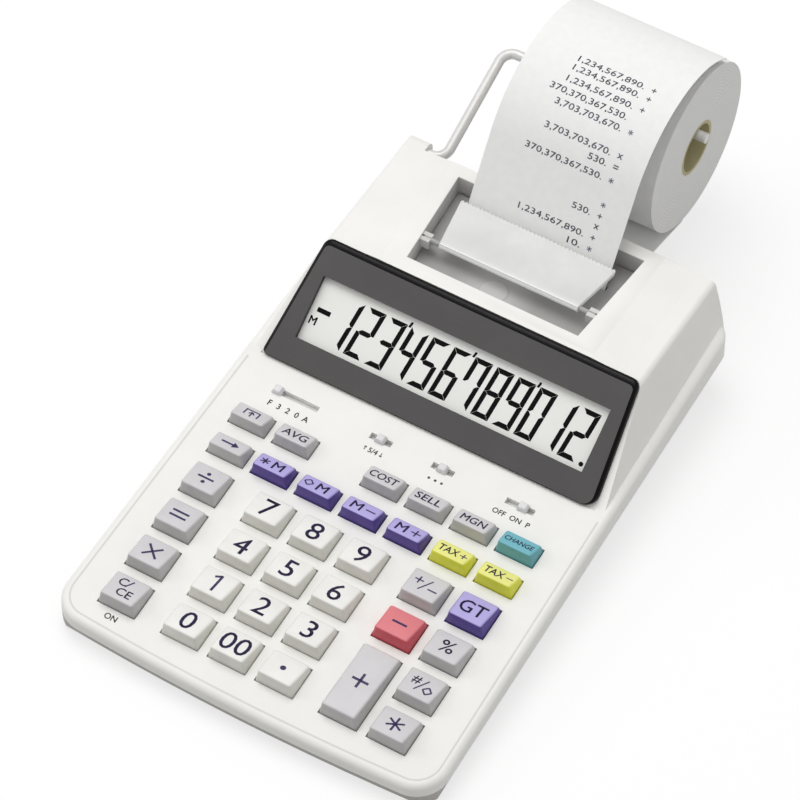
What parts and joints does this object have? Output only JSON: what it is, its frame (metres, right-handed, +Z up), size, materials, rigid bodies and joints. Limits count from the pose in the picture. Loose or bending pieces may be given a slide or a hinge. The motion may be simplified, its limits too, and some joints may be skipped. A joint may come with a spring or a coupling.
{
  "type": "printing desk calculator",
  "caption": "Wedge-shaped desk calculator with sloped display, colour-coded keys, slide switches, roll printer with clear tear flap and a paper roll on a wire arm.",
  "frame": {"origin": "centre of the bounding box on the table plane, under the feet", "axes": "+X to the user's right, +Y from the front edge towards the paper roll, +Z up from the table"},
  "size_m": [0.1496, 0.293, 0.09],
  "materials": {
    "case_white": "fine spark texture, warm white",
    "case_grey": "fine spark texture, warm grey",
    "panel_dark": "satin dark grey with polished edges",
    "display_glass": "pale grey liquid crystal behind clear cover",
    "key_white": "satin warm white",
    "key_grey": "satin lavender grey",
    "key_violet": "satin violet",
    "key_yellow": "satin lemon yellow",
    "key_teal": "satin teal",
    "key_red": "satin coral red",
    "switch_grey": "satin grey",
    "key_mat": "silicone sheet",
    "board_green": "coated board",
    "flap_clear": "clear moulded plastic",
    "frame_grey": "moulded grey",
    "roller_rubber": "ground rubber",
    "wheel_dark": "moulded type bands",
    "ink_felt": "inked felt",
    "paper": "smooth plain paper",
    "core_olive": "dull olive",
    "holder_wire": "satin nickel",
    "foot_rubber": "soft rubber",
    "screw_steel": "zinc plated"
  },
  "bodies": {
    "case": {"upper_case": "case_white", "lower_case": "case_grey", "display_panel": "panel_dark", "display_glass": "display_glass", "key_mat": "key_mat", "main_board": "board_green", "printer_cover": "case_white", "printer_frame": "frame_grey", "printed_strip": "paper", "rubber_feet": "foot_rubber", "case_screws": "screw_steel"},
    "key_seven": {"key_seven": "key_white"},
    "key_eight": {"key_eight": "key_white"},
    "key_nine": {"key_nine": "key_white"},
    "key_four": {"key_four": "key_white"},
    "key_five": {"key_five": "key_white"},
    "key_six": {"key_six": "key_white"},
    "key_one": {"key_one": "key_white"},
    "key_two": {"key_two": "key_white"},
    "key_three": {"key_three": "key_white"},
    "key_zero": {"key_zero": "key_white"},
    "key_double_zero": {"key_double_zero": "key_white"},
    "key_point": {"key_point": "key_white"},
    "key_feed": {"key_feed": "key_grey"},
    "key_average": {"key_average": "key_grey"},
    "key_cost": {"key_cost": "key_grey"},
    "key_sell": {"key_sell": "key_grey"},
    "key_margin": {"key_margin": "key_grey"},
    "key_backspace": {"key_backspace": "key_grey"},
    "key_divide": {"key_divide": "key_grey"},
    "key_equals": {"key_equals": "key_grey"},
    "key_multiply": {"key_multiply": "key_grey"},
    "key_clear": {"key_clear": "key_grey"},
    "key_sign": {"key_sign": "key_grey"},
    "key_percent": {"key_percent": "key_grey"},
    "key_subtotal": {"key_subtotal": "key_grey"},
    "key_plus": {"key_plus": "key_grey"},
    "key_total": {"key_total": "key_grey"},
    "key_memory_total": {"key_memory_total": "key_violet"},
    "key_memory_subtotal": {"key_memory_subtotal": "key_violet"},
    "key_memory_minus": {"key_memory_minus": "key_violet"},
    "key_memory_plus": {"key_memory_plus": "key_violet"},
    "key_grand_total": {"key_grand_total": "key_violet"},
    "key_tax_plus": {"key_tax_plus": "key_yellow"},
    "key_tax_minus": {"key_tax_minus": "key_yellow"},
    "key_change": {"key_change": "key_teal"},
    "key_minus": {"key_minus": "key_red"},
    "switch_decimal": {"switch_decimal": "switch_grey"},
    "switch_rounding": {"switch_rounding": "switch_grey"},
    "switch_total": {"switch_total": "switch_grey"},
    "switch_power": {"switch_power": "switch_grey"},
    "tear_flap": {"tear_flap": "flap_clear"},
    "roll_holder": {"roll_holder": "holder_wire", "feed_paper": "paper"},
    "paper_roll": {"paper_roll": "paper", "paper_core": "core_olive"},
    "feed_roller": {"feed_roller": "roller_rubber"},
    "print_wheel": {"print_wheel": "wheel_dark"},
    "ink_roller": {"ink_roller": "ink_felt"},
    "battery_cover": {"battery_cover": "case_grey"}
  },
  "joints": [
    {"name": "seven_press", "type": "slide", "parent": "case", "child": "key_seven", "axis": [0, 0.0872, -0.9962], "range_m": [0, 0.0018], "stiffness_N_per_m": 350},
    {"name": "eight_press", "type": "slide", "parent": "case", "child": "key_eight", "axis": [0, 0.0872, -0.9962], "range_m": [0, 0.0018], "stiffness_N_per_m": 350},
    {"name": "nine_press", "type": "slide", "parent": "case", "child": "key_nine", "axis": [0, 0.0872, -0.9962], "range_m": [0, 0.0018], "stiffness_N_per_m": 350},
    {"name": "four_press", "type": "slide", "parent": "case", "child": "key_four", "axis": [0, 0.0872, -0.9962], "range_m": [0, 0.0018], "stiffness_N_per_m": 350},
    {"name": "five_press", "type": "slide", "parent": "case", "child": "key_five", "axis": [0, 0.0872, -0.9962], "range_m": [0, 0.0018], "stiffness_N_per_m": 350},
    {"name": "six_press", "type": "slide", "parent": "case", "child": "key_six", "axis": [0, 0.0872, -0.9962], "range_m": [0, 0.0018], "stiffness_N_per_m": 350},
    {"name": "one_press", "type": "slide", "parent": "case", "child": "key_one", "axis": [0, 0.0872, -0.9962], "range_m": [0, 0.0018], "stiffness_N_per_m": 350},
    {"name": "two_press", "type": "slide", "parent": "case", "child": "key_two", "axis": [0, 0.0872, -0.9962], "range_m": [0, 0.0018], "stiffness_N_per_m": 350},
    {"name": "three_press", "type": "slide", "parent": "case", "child": "key_three", "axis": [0, 0.0872, -0.9962], "range_m": [0, 0.0018], "stiffness_N_per_m": 350},
    {"name": "zero_press", "type": "slide", "parent": "case", "child": "key_zero", "axis": [0, 0.0872, -0.9962], "range_m": [0, 0.0018], "stiffness_N_per_m": 350},
    {"name": "double_zero_press", "type": "slide", "parent": "case", "child": "key_double_zero", "axis": [0, 0.0872, -0.9962], "range_m": [0, 0.0018], "stiffness_N_per_m": 350},
    {"name": "point_press", "type": "slide", "parent": "case", "child": "key_point", "axis": [0, 0.0872, -0.9962], "range_m": [0, 0.0018], "stiffness_N_per_m": 350},
    {"name": "feed_press", "type": "slide", "parent": "case", "child": "key_feed", "axis": [0, 0.0872, -0.9962], "range_m": [0, 0.0018], "stiffness_N_per_m": 350},
    {"name": "average_press", "type": "slide", "parent": "case", "child": "key_average", "axis": [0, 0.0872, -0.9962], "range_m": [0, 0.0018], "stiffness_N_per_m": 350},
    {"name": "cost_press", "type": "slide", "parent": "case", "child": "key_cost", "axis": [0, 0.0872, -0.9962], "range_m": [0, 0.0018], "stiffness_N_per_m": 350},
    {"name": "sell_press", "type": "slide", "parent": "case", "child": "key_sell", "axis": [0, 0.0872, -0.9962], "range_m": [0, 0.0018], "stiffness_N_per_m": 350},
    {"name": "margin_press", "type": "slide", "parent": "case", "child": "key_margin", "axis": [0, 0.0872, -0.9962], "range_m": [0, 0.0018], "stiffness_N_per_m": 350},
    {"name": "backspace_press", "type": "slide", "parent": "case", "child": "key_backspace", "axis": [0, 0.0872, -0.9962], "range_m": [0, 0.0018], "stiffness_N_per_m": 350},
    {"name": "divide_press", "type": "slide", "parent": "case", "child": "key_divide", "axis": [0, 0.0872, -0.9962], "range_m": [0, 0.0018], "stiffness_N_per_m": 350},
    {"name": "equals_press", "type": "slide", "parent": "case", "child": "key_equals", "axis": [0, 0.0872, -0.9962], "range_m": [0, 0.0018], "stiffness_N_per_m": 350},
    {"name": "multiply_press", "type": "slide", "parent": "case", "child": "key_multiply", "axis": [0, 0.0872, -0.9962], "range_m": [0, 0.0018], "stiffness_N_per_m": 350},
    {"name": "clear_press", "type": "slide", "parent": "case", "child": "key_clear", "axis": [0, 0.0872, -0.9962], "range_m": [0, 0.0018], "stiffness_N_per_m": 350},
    {"name": "sign_press", "type": "slide", "parent": "case", "child": "key_sign", "axis": [0, 0.0872, -0.9962], "range_m": [0, 0.0018], "stiffness_N_per_m": 350},
    {"name": "percent_press", "type": "slide", "parent": "case", "child": "key_percent", "axis": [0, 0.0872, -0.9962], "range_m": [0, 0.0018], "stiffness_N_per_m": 350},
    {"name": "subtotal_press", "type": "slide", "parent": "case", "child": "key_subtotal", "axis": [0, 0.0872, -0.9962], "range_m": [0, 0.0018], "stiffness_N_per_m": 350},
    {"name": "plus_press", "type": "slide", "parent": "case", "child": "key_plus", "axis": [0, 0.0872, -0.9962], "range_m": [0, 0.0018], "stiffness_N_per_m": 350},
    {"name": "total_press", "type": "slide", "parent": "case", "child": "key_total", "axis": [0, 0.0872, -0.9962], "range_m": [0, 0.0018], "stiffness_N_per_m": 350},
    {"name": "memory_total_press", "type": "slide", "parent": "case", "child": "key_memory_total", "axis": [0, 0.0872, -0.9962], "range_m": [0, 0.0018], "stiffness_N_per_m": 350},
    {"name": "memory_subtotal_press", "type": "slide", "parent": "case", "child": "key_memory_subtotal", "axis": [0, 0.0872, -0.9962], "range_m": [0, 0.0018], "stiffness_N_per_m": 350},
    {"name": "memory_minus_press", "type": "slide", "parent": "case", "child": "key_memory_minus", "axis": [0, 0.0872, -0.9962], "range_m": [0, 0.0018], "stiffness_N_per_m": 350},
    {"name": "memory_plus_press", "type": "slide", "parent": "case", "child": "key_memory_plus", "axis": [0, 0.0872, -0.9962], "range_m": [0, 0.0018], "stiffness_N_per_m": 350},
    {"name": "grand_total_press", "type": "slide", "parent": "case", "child": "key_grand_total", "axis": [0, 0.0872, -0.9962], "range_m": [0, 0.0018], "stiffness_N_per_m": 350},
    {"name": "tax_plus_press", "type": "slide", "parent": "case", "child": "key_tax_plus", "axis": [0, 0.0872, -0.9962], "range_m": [0, 0.0018], "stiffness_N_per_m": 350},
    {"name": "tax_minus_press", "type": "slide", "parent": "case", "child": "key_tax_minus", "axis": [0, 0.0872, -0.9962], "range_m": [0, 0.0018], "stiffness_N_per_m": 350},
    {"name": "change_press", "type": "slide", "parent": "case", "child": "key_change", "axis": [0, 0.0872, -0.9962], "range_m": [0, 0.0018], "stiffness_N_per_m": 350},
    {"name": "minus_press", "type": "slide", "parent": "case", "child": "key_minus", "axis": [0, 0.0872, -0.9962], "range_m": [0, 0.0018], "stiffness_N_per_m": 350},
    {"name": "decimal_slide", "type": "slide", "parent": "case", "child": "switch_decimal", "axis": [1, 0, 0], "range_m": [0, 0.0144]},
    {"name": "rounding_slide", "type": "slide", "parent": "case", "child": "switch_rounding", "axis": [1, 0, 0], "range_m": [-0.0025, 0.0025]},
    {"name": "total_slide", "type": "slide", "parent": "case", "child": "switch_total", "axis": [1, 0, 0], "range_m": [-0.0025, 0.0025]},
    {"name": "power_slide", "type": "slide", "parent": "case", "child": "switch_power", "axis": [1, 0, 0], "range_m": [-0.005, 0.0025]},
    {"name": "flap_hinge", "type": "hinge", "parent": "case", "child": "tear_flap", "pos_m": [0, 0.03325, 0.0459], "axis": [1, 0, 0], "range_deg": [0, 60]},
    {"name": "holder_hinge", "type": "hinge", "parent": "case", "child": "roll_holder", "pos_m": [-0.054, 0.07115, 0.04], "axis": [1, 0, 0], "range_deg": [-15, 0]},
    {"name": "roll_spin", "type": "hinge", "parent": "roll_holder", "child": "paper_roll", "pos_m": [0, 0.11405, 0.0505], "axis": [1, 0, 0], "continuous": true},
    {"name": "feed_spin", "type": "hinge", "parent": "case", "child": "feed_roller", "pos_m": [0, 0.05175, 0.031], "axis": [1, 0, 0], "continuous": true},
    {"name": "wheel_spin", "type": "hinge", "parent": "case", "child": "print_wheel", "pos_m": [0, 0.03925, 0.031], "axis": [1, 0, 0], "continuous": true},
    {"name": "ink_spin", "type": "hinge", "parent": "case", "child": "ink_roller", "pos_m": [0, 0.02905, 0.031], "axis": [1, 0, 0], "continuous": true},
    {"name": "battery_slide", "type": "slide", "parent": "case", "child": "battery_cover", "axis": [0, 1, 0], "range_m": [0, 0.05]}
  ],
  "couplings": [
    {"joint": "feed_spin", "follows": "roll_spin", "ratio": 5.9091},
    {"joint": "ink_spin", "follows": "wheel_spin", "ratio": -1.3095}
  ]
}
